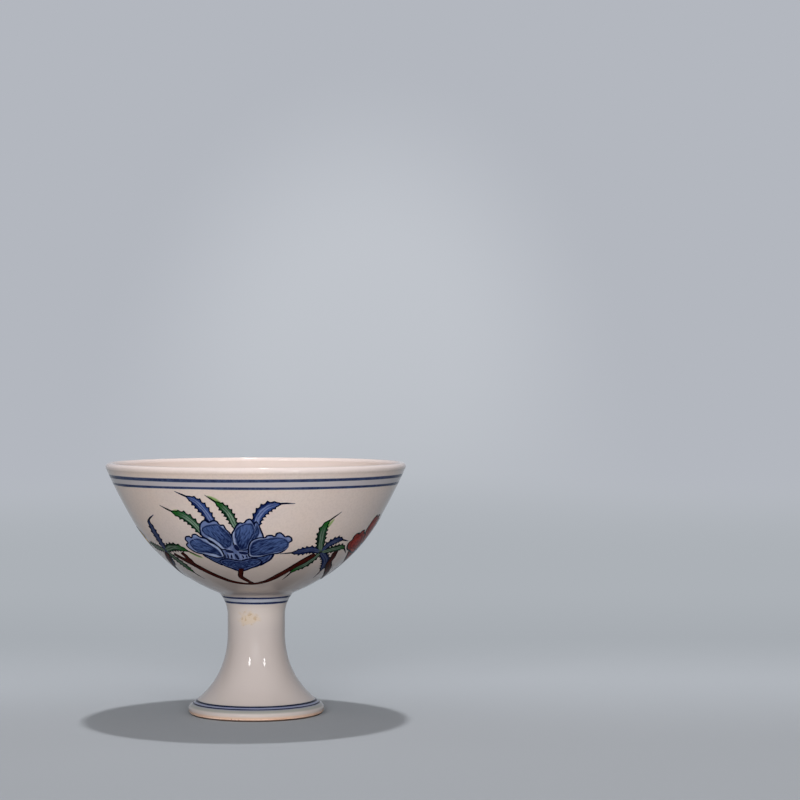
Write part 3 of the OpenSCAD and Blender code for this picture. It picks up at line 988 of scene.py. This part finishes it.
upper_right_fill = [
    (1.4, 23.2), (0.9, 25.3), (0.8, 27.2), (1.1, 28.9), (2, 30.1), (3.4, 30.9), (5.2, 31), (6, 29.9),
    (5.8, 28.2), (4.8, 26.2), (3.9, 24.4), (3.3, 23.1),
]
back_fill = [(4.8, 26.2), (6, 29), (6.7, 31.2), (7.2, 29.6), (7, 27.8), (5.8, 25.8)]
left_fill = [
    (-3.7, 20.2), (-5.7, 20.9), (-7.6, 21.3), (-10, 21.5), (-11.3, 22.6), (-12.1, 24.5), (-10.9, 25.8),
    (-9.2, 26.1), (-7.7, 25.3), (-5.9, 23.9), (-4.4, 22.5),
]
right_fill = [
    (4.4, 20.8), (4.3, 23), (5, 24.8), (6.4, 25.9), (8.5, 26.2), (11.1, 26.6), (13.3, 26.2),
    (14.1, 24.7), (13.5, 23.1), (11.6, 22), (9.1, 21.3), (6.4, 20.6),
]
calyx_fill = [
    (-4.1, 18.4), (-3.8, 17), (-2, 16), (-0.6, 15.3), (0.6, 14.9), (2.2, 15.4), (4.9, 16.8),
    (6.2, 18.1), (5.5, 19), (3.6, 19), (1.1, 18.2), (-1.6, 18.7),
]
low_left_fill = [(-3.2, 20), (-3.9, 17.3), (-5.5, 18), (-7.1, 19.3), (-8, 20.5), (-6.2, 20.8)]
low_right_fill = [(4.4, 20), (6.9, 21), (9.2, 20.9), (8.8, 19.5), (7.5, 18.4), (5.4, 17.2)]
dashes = [
    ((-2.4, 22.3), (-0.2, 21.7), 1.1),
    ((1.1, 21.7), (3.5, 21.2), 1.1),
    ((0.4, 24.4), (1.1, 22.2), 1.2),
    ((-2.7, 20.9), (-2.6, 19.3), 0.4),
    ((-1.9, 21.0), (-1.9, 19.2), 0.46),
    ((-1.0, 20.9), (-1.0, 19.2), 0.46),
    ((0.1, 21.2), (0.7, 19.0), 0.8),
    ((1.9, 20.7), (2.1, 19.4), 0.46),
    ((2.9, 20.7), (3.0, 19.6), 0.46),
]


def outlined(turn, draw):
    """Outlined petals of one flower, from the back ones to the front ones, with how far each stands off."""
    order = [
        (back_petal, 0.018),
        (upper_left, 0.024),
        (upper_right, 0.024),
        (left_petal, 0.034),
        (right_petal, 0.034),
    ]
    return [petal(turn, points, draw, lift) for points, lift in order]


def under(turn, draw):
    """Low petals and the calyx that the heart stands in."""
    order = [(low_left, 0.016), (low_right, 0.016), (calyx, 0.044)]
    return [petal(turn, points, draw, lift) for points, lift in order]


def filled(turn, draw):
    """Strokes that fill the petals, widened a little in the upper ones, with how far each stands off."""
    widening = 0.06
    upper = [
        (back_fill, 0.022),
        (upper_left_fill, 0.03),
        (upper_right_fill, 0.03),
        (left_fill, 0.04),
        (right_fill, 0.04),
    ]
    order = []
    for points, lift in upper:
        order.append((np.array(points) * (1 + widening) - widening * np.mean(points, axis=0), lift))
    order += [(low_left_fill, 0.022), (low_right_fill, 0.022), (calyx_fill, 0.05)]
    return [petal(turn, points, draw, lift, crown=0.01) for points, lift in order]


dash_lift, heart_lift = 0.05, 0.012


def dashed(turn, draw):
    """Dark dashes and short bars drawn across the heart."""
    sheets = []
    for start, end, width in dashes:
        half = width / 2 * np.sin(np.linspace(0.08, 0.95, 14) * math.pi) ** 0.6
        middle = ((start[0] + end[0]) / 2, (start[1] + end[1]) / 2)
        points = [start, middle, end]
        sheets.append(stroke(turn, points, half, half, dash_lift, crown=0.0, tone=draw.random(), columns=3))
    return sheets


def heart_finish(name, pale, deep):
    """Thin wash in the heart with soft veins running up it."""
    finish, place = new_finish(name)
    vein = brushed(place, 1.3, 1.6, **petal_brush)
    surface(
        place,
        {
            "Base Color": vein.rise(0.36, 0.6).blend(pale, deep),
            "Roughness": vein * 0.06 + 0.08,
            "Specular IOR Level": paint_shine,
        },
    )
    return finish


blue_line, red_line, yellow_line = colour(7, 14, 44), colour(14, 10, 26), colour(22, 30, 60)
hand = random.Random(47)
painted(
    "painted_blue_flowers",
    [sheet for turn in blue_turns for sheet in outlined(turn, hand)],
    wash_finish("petal_pale_cobalt", blue_line, colour(174, 187, 218), colour(112, 128, 174)),
    "blue_colour",
    "blue_flowers",
)
painted(
    "blue_calyxes",
    [sheet for turn in blue_turns for sheet in under(turn, hand)],
    wash_finish("calyx_cobalt", blue_line, colour(52, 68, 118), colour(28, 42, 90)),
    "blue_colour",
)
painted(
    "blue_petal_strokes",
    [sheet for turn in blue_turns for sheet in filled(turn, hand)],
    body_finish("petal_cobalt", colour(100, 118, 166), colour(17, 29, 70), colour(78, 100, 152)),
    "blue_colour",
)
painted(
    "blue_flower_hearts",
    [petal(turn, open_heart, hand, heart_lift) for turn in blue_turns],
    heart_finish("heart_pale_cobalt", colour(144, 158, 198), colour(90, 106, 154)),
    "blue_colour",
)
painted(
    "heart_dashes",
    [sheet for turn in spray_turns for sheet in dashed(turn, hand)],
    cobalt_finish("heart_dash_cobalt", 0.03, colour(22, 33, 76), colour(12, 20, 54)),
    "blue_colour",
)
painted(
    "painted_red_flower",
    outlined(red_turn, hand),
    wash_finish("petal_pale_red", red_line, colour(186, 76, 62), colour(152, 54, 44)),
    "red_enamel",
    "red_flower",
)
painted(
    "red_calyx",
    under(red_turn, hand),
    wash_finish("calyx_red", red_line, colour(150, 52, 44), colour(118, 28, 24)),
    "red_enamel",
)
painted(
    "red_petal_strokes",
    filled(red_turn, hand),
    body_finish("petal_iron_red", colour(150, 52, 44), colour(118, 28, 24), colour(186, 60, 48)),
    "red_enamel",
)
painted(
    "red_flower_heart",
    [petal(red_turn, open_heart, hand, heart_lift)],
    heart_finish("heart_pale_red", colour(206, 140, 122), colour(176, 94, 78)),
    "red_enamel",
)
painted(
    "painted_yellow_flower",
    outlined(yellow_turn, hand),
    wash_finish("petal_pale_yellow", yellow_line, colour(242, 216, 140), colour(232, 192, 100)),
    "yellow_enamel",
    "yellow_flower",
)
painted(
    "yellow_calyx",
    under(yellow_turn, hand),
    wash_finish("calyx_yellow", yellow_line, colour(226, 176, 84), colour(206, 156, 60)),
    "yellow_enamel",
)
painted(
    "yellow_petal_strokes",
    filled(yellow_turn, hand),
    body_finish("petal_yellow", colour(226, 176, 84), colour(206, 156, 60), colour(236, 196, 98)),
    "yellow_enamel",
)
painted(
    "yellow_flower_heart",
    [petal(yellow_turn, open_heart, hand, heart_lift)],
    heart_finish("heart_pale_yellow", colour(240, 220, 150), colour(228, 176, 84)),
    "yellow_enamel",
)


# Studio
# A seamless pale grey ground, an overhead lamp a little behind the cup, two small front lamps
# and soft light from all round. The camera stands a little above the lip, looking straight on.

flat_end, wall_at, wall_rise, bend, half_width = -4.0, 2.6, 3.0, 1.2, 4.0
columns, rows = 4, 60
bpy.ops.object.select_all(action="DESELECT")
bpy.ops.mesh.primitive_grid_add(x_subdivisions=columns, y_subdivisions=rows, size=1.0)
ground = bpy.context.object
ground.name = "seamless_ground"
flat = wall_at - bend - flat_end
curve = bend * math.pi / 2
for index, vertex in enumerate(ground.data.vertices):
    row, column = divmod(index, columns + 1)
    run = (flat + curve + wall_rise) * row / rows
    across = (2 * column / columns - 1) * half_width
    if run < flat:
        vertex.co = (across, flat_end + run, 0)
    elif run < flat + curve:
        angle = (run - flat) / bend
        vertex.co = (across, wall_at - bend + bend * math.sin(angle), bend * (1 - math.cos(angle)))
    else:
        vertex.co = (across, wall_at, bend + run - flat - curve)
bpy.ops.object.shade_smooth()
paper, place = new_finish("seamless_paper")
depth = place.node("ShaderNodeSeparateXYZ", {}, {"Vector": place}, "Y")
# Painted light: the floor near the cup is lighter towards the back.
near = depth.rise(-0.06, 0.08).blend(colour(181, 185, 191), colour(196, 201, 208))
near = (place.cloud(3.0, 2.0) * 0.06).blend(near, colour(162, 166, 172))
camera_ray = place.node("ShaderNodeLightPath", {}, {}, "Is Camera Ray")
mirror_ray = place.node("ShaderNodeLightPath", {}, {}, "Is Glossy Ray")
bounced_ray = place.node("ShaderNodeLightPath", {}, {}, "Is Diffuse Ray")
lit = place.node("ShaderNodeBsdfDiffuse", {}, {"Color": bounced_ray.blend(near, colour(70, 71, 74))})
away = place.node("ShaderNodeVectorMath", {"operation": "SUBTRACT"}, {0: place, 1: (0.0, wall_at, 0.12)})
spread = away.node("ShaderNodeVectorMath", {"operation": "MULTIPLY"}, {0: away, 1: (1.0, 0.0, 0.8)})
aside = spread.node("ShaderNodeVectorMath", {"operation": "LENGTH"}, {0: spread}, "Value")
far = depth.rise(0.45, 2.3).blend(colour(172, 177, 183), colour(193, 197, 204))
far = depth.rise(0.12, 0.38).blend(colour(166, 171, 177), far)
far = (aside.rise(0.08, 0.3) * depth.rise(0.6, 1.6)).blend(far, colour(179, 183, 191))
glow = place.node("ShaderNodeEmission", {}, {"Color": far, "Strength": 1.0})
seen = (camera_ray + mirror_ray) * depth.rise(0.06, 0.2)
shown = place.node("ShaderNodeMixShader", {}, {0: seen, 1: lit, 2: glow})
place.node("ShaderNodeOutputMaterial", {}, {"Surface": shown})
ground.data.materials.append(paper)


def lamp(name, at, width, height, power):
    """A round or oval lamp at a point, aimed at the cup."""
    bpy.ops.object.light_add(type="AREA", location=at)
    made = bpy.context.object
    made.name = name
    made.data.shape = "ELLIPSE"
    made.data.size = width
    made.data.size_y = height
    made.data.energy = power
    made.rotation_mode = "QUATERNION"
    made.rotation_quaternion = (-made.location).to_track_quat("-Z", "Y")


lamp("overhead_lamp", at=(0.034, 0.2, 1.15), width=0.055, height=0.055, power=4.9)
lamp("front_lamp_left", at=(-0.357, -0.885, 0.44), width=0.1, height=0.2, power=0.75)
lamp("front_lamp_right", at=(0.52, -0.8, 0.44), width=0.1, height=0.2, power=0.75)

world = bpy.data.worlds.new("studio")
bpy.context.scene.world = world
world.use_nodes = True
world.node_tree.nodes.clear()
sky = Shade(world.node_tree.nodes.new("ShaderNodeTexCoord").outputs["Generated"])
rising = sky.node("ShaderNodeSeparateXYZ", {}, {"Vector": sky}, "Z")
front_way = (0.0, -0.985, 0.174)
front = sky.node("ShaderNodeVectorMath", {"operation": "DOT_PRODUCT"}, {0: sky, 1: front_way}, "Value")
mirror_ray = sky.node("ShaderNodeLightPath", {}, {}, "Is Glossy Ray")
from_above = rising.rise(0.2, 0.9) * 0.32
from_behind = front.rise(-0.2, -0.9) * 0.3
from_front = front.rise(0.92, 1.0) * (14.2 - mirror_ray * 13.2)
strength = 0.1 + from_above + from_behind + from_front
light = sky.node("ShaderNodeBackground", {}, {"Strength": strength})
sky.node("ShaderNodeOutputWorld", {}, {"Surface": light})

camera_at, camera_dip = (0.0384, -0.641, 0.090), 0.57
bpy.ops.object.camera_add(location=camera_at, rotation=(math.radians(90 - camera_dip), 0, 0))
camera = bpy.context.object
camera.name = "camera"
camera.data.sensor_width = 36
camera.data.lens = 108
camera.data.clip_start = 0.01
bpy.context.scene.camera = camera
bpy.context.scene.view_settings.view_transform = "Standard"
